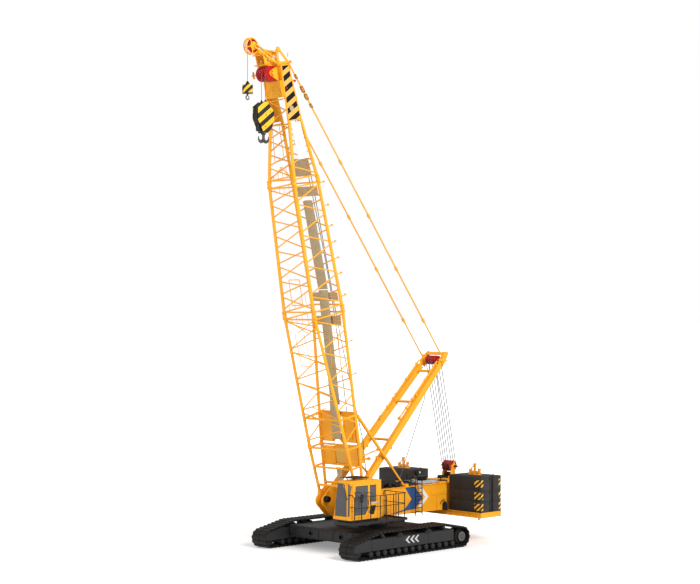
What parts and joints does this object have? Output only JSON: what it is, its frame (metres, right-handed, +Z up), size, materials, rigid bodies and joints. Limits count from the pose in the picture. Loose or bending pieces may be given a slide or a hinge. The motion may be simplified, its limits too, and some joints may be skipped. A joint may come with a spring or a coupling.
{
  "type": "crawler crane",
  "caption": "Lattice-boom crawler crane with slewing superstructure, cab, counterweights, live mast, pendants, main hook block and auxiliary hook.",
  "frame": {"origin": "on the ground under the middle of the bounding box, on the machine's centre plane; the slewing axis stands at X = -0.642 m", "axes": "+X forward, the way the boom leans; +Y to the left, the cab side; +Z up"},
  "size_m": [17.0746, 8.675, 29.3255],
  "materials": {
    "body_yellow": "orange-yellow paint, satin",
    "boom_yellow": "orange-yellow paint on steel tube",
    "dark_grey": "dark grey paint, matt",
    "black": "black paint",
    "weights": "dark grey paint on cast weight",
    "sheave_red": "red sheave",
    "mesh_tan": "tan painted mesh",
    "glass": "dark tinted glass",
    "rope": "greased wire rope",
    "hook_steel": "forged hook, dark",
    "board_white": "white board, blank",
    "seat": "black seat"
  },
  "bodies": {
    "undercarriage": {"track_left": "dark_grey", "track_right": "dark_grey", "track_frames": "dark_grey", "carbody": "dark_grey", "drive_sprockets": "dark_grey", "idlers": "dark_grey", "track_rollers": "dark_grey", "slew_ring": "dark_grey"},
    "superstructure": {"deck": "dark_grey", "main_girders": "body_yellow", "nose_plates": "body_yellow", "engine_block": "dark_grey", "machinery_cover": "black", "counterweight_tray": "body_yellow", "counterweights_left": "weights", "counterweights_right": "weights", "lifting_brackets": "body_yellow", "rear_post": "body_yellow", "winch_frames": "black", "cab_floor": "body_yellow", "cab_roof": "body_yellow", "cab_side_walls": "body_yellow", "cab_front_and_rear": "body_yellow", "cab_glass": "glass", "cab_seat": "seat", "walkway": "dark_grey", "handrails": "black", "ladder": "black"},
    "door": {"cab_door": "body_yellow", "door_glass": "glass"},
    "rear_sheaves": {"luffing_block_sheaves": "sheave_red"},
    "front_drum": {"hoist_drum_front": "black"},
    "rear_drum": {"hoist_drum_rear": "black"},
    "boom": {"boom_base": "boom_yellow", "boom_insert": "boom_yellow", "boom_head": "boom_yellow", "boom_knuckles": "boom_yellow", "boom_foot_lugs": "boom_yellow", "boom_portal_plates": "boom_yellow", "boom_winch_frame": "boom_yellow", "boom_head_plates": "boom_yellow", "jib_frame": "boom_yellow", "boom_walkway": "mesh_tan", "side_board": "board_white", "backstops": "boom_yellow"},
    "boom_winch": {"boom_winch_drum": "mesh_tan"},
    "head_sheaves": {"head_sheaves": "sheave_red"},
    "aux_sheave": {"aux_sheave": "sheave_red"},
    "mast": {"mast_legs": "boom_yellow", "mast_head": "boom_yellow", "pendants": "boom_yellow"},
    "mast_sheaves": {"mast_sheaves": "sheave_red"},
    "main_block": {"main_falls": "rope", "main_hook_block": "body_yellow"},
    "main_hook": {"main_hook": "hook_steel"},
    "aux_block": {"aux_rope": "rope", "aux_hook_block": "body_yellow"},
    "aux_hook": {"aux_hook": "hook_steel"}
  },
  "joints": [
    {"name": "slewing", "type": "hinge", "parent": "undercarriage", "child": "superstructure", "pos_m": [-0.642, 0, 1.54], "axis": [0, 0, 1], "continuous": true},
    {"name": "cab_door_slide", "type": "slide", "parent": "superstructure", "child": "door", "axis": [-1, 0, 0], "range_m": [0, 0.65]},
    {"name": "boom_luff", "type": "hinge", "parent": "superstructure", "child": "boom", "pos_m": [1.108, 0, 2.6], "axis": [0, 1, 0], "range_deg": [0, 60]},
    {"name": "mast_luff", "type": "hinge", "parent": "superstructure", "child": "mast", "pos_m": [1.108, 0, 2.6], "axis": [0, 1, 0], "range_deg": [0, 60]},
    {"name": "main_hook_swing", "type": "hinge", "parent": "boom", "child": "main_block", "pos_m": [6.7564, 0, 27.38219], "axis": [0, 1, 0], "range_deg": [-60, 0]},
    {"name": "aux_hook_swing", "type": "hinge", "parent": "boom", "child": "aux_block", "pos_m": [7.75828, 0, 28.87581], "axis": [0, 1, 0], "range_deg": [-60, 0]},
    {"name": "main_hook_swivel", "type": "hinge", "parent": "main_block", "child": "main_hook", "pos_m": [7.1957, 0.25, 24], "axis": [0, 0, 1], "continuous": true},
    {"name": "aux_hook_swivel", "type": "hinge", "parent": "aux_block", "child": "aux_hook", "pos_m": [8.15258, 0, 26.16], "axis": [0, 0, 1], "continuous": true},
    {"name": "head_sheave_spin", "type": "hinge", "parent": "boom", "child": "head_sheaves", "pos_m": [6.7564, 0, 27.38219], "axis": [0, 1, 0], "continuous": true},
    {"name": "aux_sheave_spin", "type": "hinge", "parent": "boom", "child": "aux_sheave", "pos_m": [7.75828, 0, 28.87581], "axis": [0, 1, 0], "continuous": true},
    {"name": "mast_sheave_spin", "type": "hinge", "parent": "mast", "child": "mast_sheaves", "pos_m": [-6.83779, 0, 10.9001], "axis": [0, 1, 0], "continuous": true},
    {"name": "rear_sheave_spin", "type": "hinge", "parent": "superstructure", "child": "rear_sheaves", "pos_m": [-8.282, 0, 4.29], "axis": [0, 1, 0], "continuous": true},
    {"name": "boom_winch_spin", "type": "hinge", "parent": "boom", "child": "boom_winch", "pos_m": [0.56913, 0, 5.61787], "axis": [0, 1, 0], "continuous": true},
    {"name": "front_drum_spin", "type": "hinge", "parent": "superstructure", "child": "front_drum", "pos_m": [-0.992, 0, 2.78], "axis": [0, 1, 0], "continuous": true},
    {"name": "rear_drum_spin", "type": "hinge", "parent": "superstructure", "child": "rear_drum", "pos_m": [-2.392, 0, 2.78], "axis": [0, 1, 0], "continuous": true}
  ],
  "couplings": [
    {"joint": "mast_luff", "follows": "boom_luff", "ratio": 1},
    {"joint": "main_hook_swing", "follows": "boom_luff", "ratio": -1},
    {"joint": "aux_hook_swing", "follows": "boom_luff", "ratio": -1}
  ]
}
